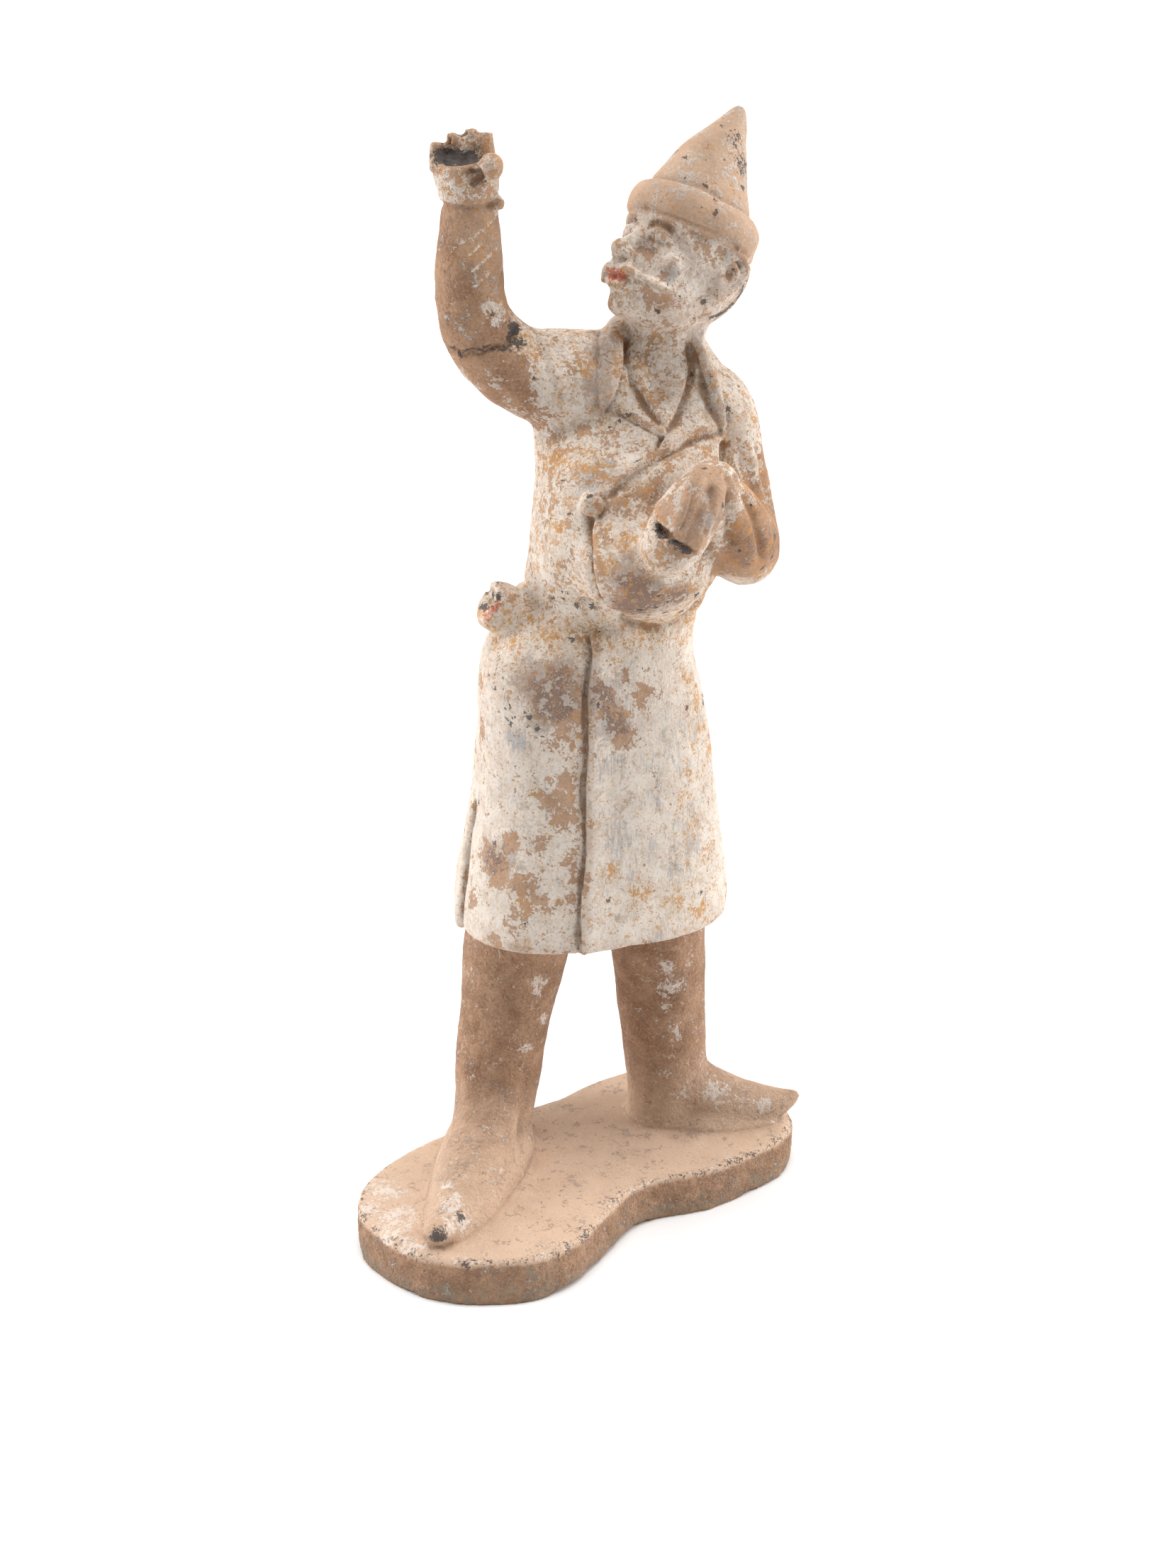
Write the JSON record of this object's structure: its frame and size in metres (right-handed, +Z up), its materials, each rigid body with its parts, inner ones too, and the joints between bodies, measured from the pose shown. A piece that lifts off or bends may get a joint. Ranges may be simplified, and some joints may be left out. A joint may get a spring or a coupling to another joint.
{
  "type": "pottery figure",
  "caption": "Painted pottery figure of a groom in a pointed cap and long belted coat, one arm raised as if holding a rein, standing astride on a flat irregular slab.",
  "frame": {"origin": "middle of the whole figure in plan, on the slab's underside", "axes": "+Z up, the coat's front edge towards -Y, the raised right arm towards -X"},
  "size_m": [0.1627, 0.1446, 0.3872],
  "materials": {
    "fired_clay": "matt buff clay with worn white slip"
  },
  "bodies": {
    "root": {"groom_figure": "fired_clay"}
  },
  "joints": []
}
